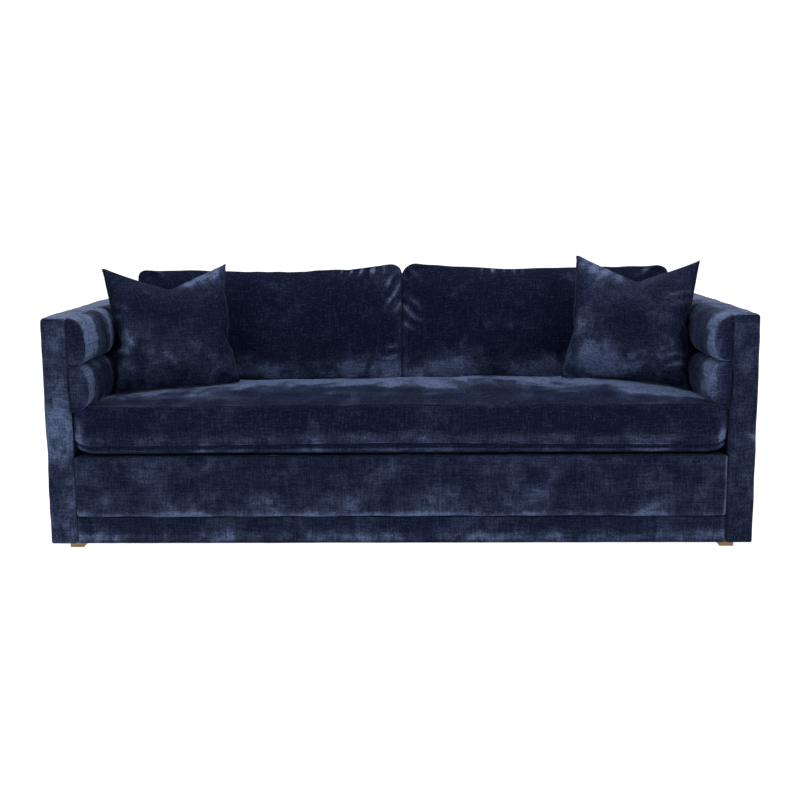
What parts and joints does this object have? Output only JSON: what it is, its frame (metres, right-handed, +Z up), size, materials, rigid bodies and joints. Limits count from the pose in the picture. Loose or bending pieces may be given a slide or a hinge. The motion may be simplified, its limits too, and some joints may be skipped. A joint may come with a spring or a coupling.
{
  "type": "tuxedo sofa",
  "caption": "Low upholstered sofa with arms as high as its back, channelled inner arms, one bench seat cushion, loose back cushions and corner pillows.",
  "frame": {"origin": "on the floor, under the middle of the sofa's bounding box", "axes": "+X to the right along the sofa's width as seen from the front, +Y to the back, +Z up; the seat faces -Y"},
  "size_m": [2.235, 0.99, 0.9085],
  "materials": {
    "velvet": "matte",
    "lining": "matte",
    "frame_wood": "matte",
    "foot_wood": "satin",
    "steel": "satin",
    "dust_cloth": "matte",
    "webbing": "matte",
    "foam": "matte",
    "zip": "satin"
  },
  "bodies": {
    "sofa_frame": {"arm_cover_left": "velvet", "arm_cover_right": "velvet", "arm_channel_upper_left": "velvet", "arm_channel_upper_right": "velvet", "arm_channel_lower_left": "velvet", "arm_channel_lower_right": "velvet", "arm_lower_lining_left": "lining", "arm_lower_lining_right": "lining", "arm_front_post_left": "frame_wood", "arm_front_post_right": "frame_wood", "arm_rear_post_left": "frame_wood", "arm_rear_post_right": "frame_wood", "arm_top_rail_left": "frame_wood", "arm_top_rail_right": "frame_wood", "arm_side_rail_left": "frame_wood", "arm_side_rail_right": "frame_wood", "arm_liner_board_left": "frame_wood", "arm_liner_board_right": "frame_wood", "front_rail": "frame_wood", "back_rail": "frame_wood", "cross_rail_left": "frame_wood", "cross_rail_centre": "frame_wood", "cross_rail_right": "frame_wood", "front_rail_cover": "velvet", "base_band_cover": "velvet", "back_upright_left": "frame_wood", "back_upright_centre": "frame_wood", "back_upright_right": "frame_wood", "back_top_rail": "frame_wood", "back_lower_rail": "frame_wood", "back_webbing_1": "webbing", "back_webbing_2": "webbing", "back_pad": "velvet", "back_cover": "velvet", "seat_springs": "steel", "seat_deck": "lining", "foot_front_left": "foot_wood", "foot_front_right": "foot_wood", "foot_rear_left": "foot_wood", "foot_rear_right": "foot_wood", "foot_centre": "foot_wood", "foot_bolt_front_left": "steel", "foot_bolt_front_right": "steel", "foot_bolt_rear_left": "steel", "foot_bolt_rear_right": "steel", "foot_bolt_centre": "steel", "foot_plate_front_left": "frame_wood", "foot_plate_front_right": "frame_wood", "foot_plate_rear_left": "frame_wood", "foot_plate_rear_right": "frame_wood", "foot_plate_centre": "frame_wood", "dust_cloth": "dust_cloth"},
    "bench_cushion": {"seat_cushion": "velvet", "seat_cushion_core": "foam", "seat_cushion_zip": "zip"},
    "left_back_cushion": {"back_cushion_left": "velvet"},
    "right_back_cushion": {"back_cushion_right": "velvet"},
    "left_pillow": {"throw_pillow_left": "velvet"},
    "right_pillow": {"throw_pillow_right": "velvet"}
  },
  "joints": [
    {"name": "bench_cushion_pull", "type": "slide", "parent": "sofa_frame", "child": "bench_cushion", "axis": [0, -0.9997, 0.0262], "range_m": [0, 0.85]},
    {"name": "left_back_cushion_lift", "type": "slide", "parent": "sofa_frame", "child": "left_back_cushion", "axis": [0, 0.1736, 0.9848], "range_m": [0, 0.45]},
    {"name": "right_back_cushion_lift", "type": "slide", "parent": "sofa_frame", "child": "right_back_cushion", "axis": [0, 0.1736, 0.9848], "range_m": [0, 0.45]},
    {"name": "left_pillow_lift", "type": "slide", "parent": "left_back_cushion", "child": "left_pillow", "axis": [0.4187, -0.2991, 0.8574], "range_m": [0, 0.5]},
    {"name": "right_pillow_lift", "type": "slide", "parent": "right_back_cushion", "child": "right_pillow", "axis": [-0.4187, -0.2991, 0.8574], "range_m": [0, 0.5]}
  ]
}
